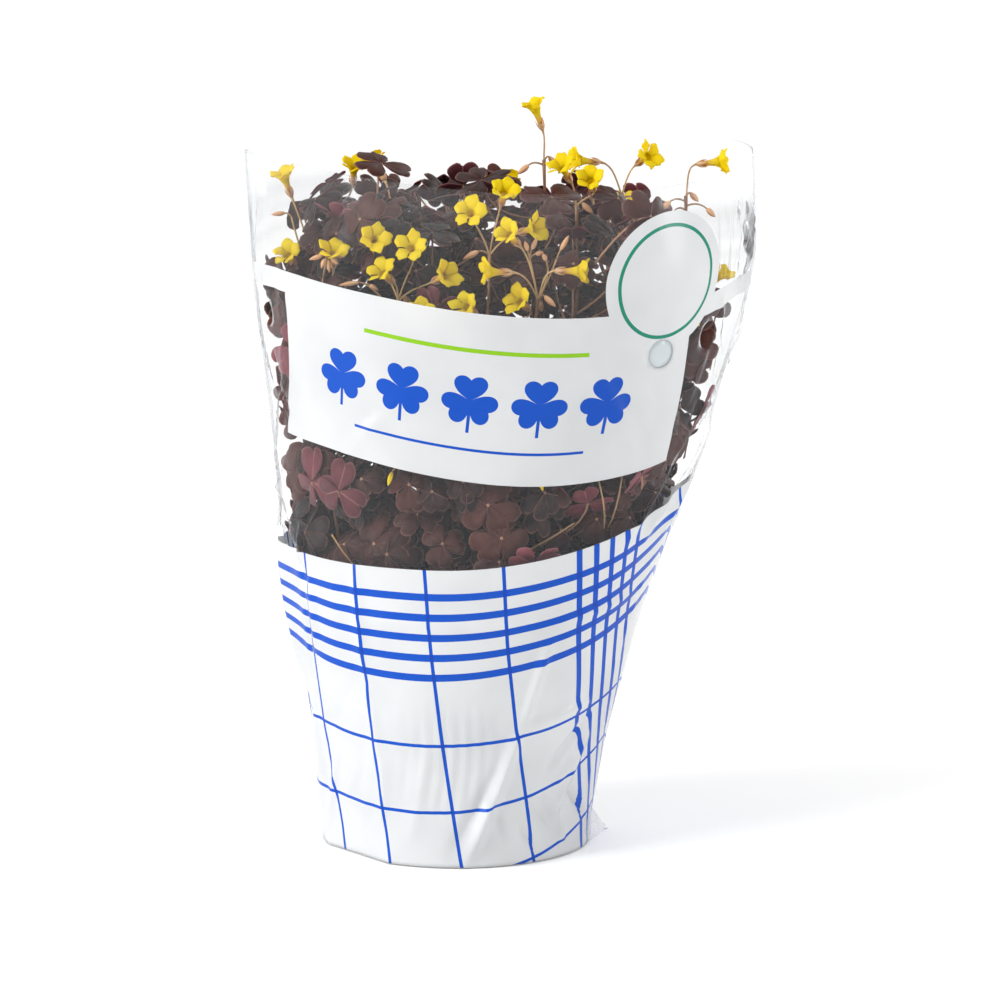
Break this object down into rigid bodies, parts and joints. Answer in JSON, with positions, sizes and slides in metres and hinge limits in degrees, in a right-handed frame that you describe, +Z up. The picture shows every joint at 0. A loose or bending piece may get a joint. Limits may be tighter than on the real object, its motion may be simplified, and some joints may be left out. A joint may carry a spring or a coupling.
{
  "type": "potted oxalis",
  "caption": "Bushy dark-leaved oxalis with yellow trumpet flowers in a nursery pot, inside a flared clear film sleeve with a blue tea-towel check.",
  "frame": {"origin": "centre of the pot's base, on the surface it stands on", "axes": "+Z up along the pot's axis; the sleeve's printed front faces -Y, and its flare leans towards +X"},
  "size_m": [0.183, 0.1596, 0.2742],
  "materials": {
    "pot": "satin",
    "soil": "matte",
    "film": "gloss",
    "leaf": "satin",
    "stalk": "satin",
    "petal": "satin"
  },
  "bodies": {
    "root": {"pot": "pot", "soil": "soil", "sleeve": "film", "leafy_stem_01": "leaf", "leafy_stem_02": "leaf", "leafy_stem_03": "leaf", "leafy_stem_04": "leaf", "leafy_stem_05": "leaf", "leafy_stem_06": "leaf", "leafy_stem_07": "leaf", "leafy_stem_08": "leaf", "leafy_stem_09": "leaf", "leafy_stem_10": "leaf", "leafy_stem_11": "leaf", "leafy_stem_12": "leaf", "leafy_stem_13": "leaf", "leafy_stem_14": "leaf", "flower_stalk_01": "stalk", "flower_stalk_02": "stalk", "flower_stalk_03": "stalk", "flower_stalk_04": "stalk", "flower_stalk_05": "stalk", "flower_stalk_06": "stalk", "flower_stalk_07": "stalk", "flower_stalk_08": "stalk", "flower_stalk_09": "stalk", "flower_stalk_10": "stalk", "flower_stalk_11": "stalk", "flower_stalk_12": "stalk", "flower_stalk_13": "stalk", "flower_stalk_14": "stalk", "corolla_01": "petal", "corolla_02": "petal", "corolla_03": "petal", "corolla_04": "petal", "corolla_05": "petal", "corolla_06": "petal", "corolla_07": "petal", "corolla_08": "petal", "corolla_09": "petal", "corolla_10": "petal", "corolla_11": "petal", "corolla_12": "petal", "corolla_13": "petal", "corolla_14": "petal", "corolla_15": "petal", "corolla_16": "petal", "corolla_17": "petal", "corolla_18": "petal", "corolla_19": "petal", "corolla_20": "petal", "corolla_21": "petal", "corolla_22": "petal", "corolla_23": "petal", "corolla_24": "petal", "corolla_25": "petal", "corolla_26": "petal", "corolla_27": "petal", "corolla_28": "petal", "corolla_29": "petal"}
  },
  "joints": []
}
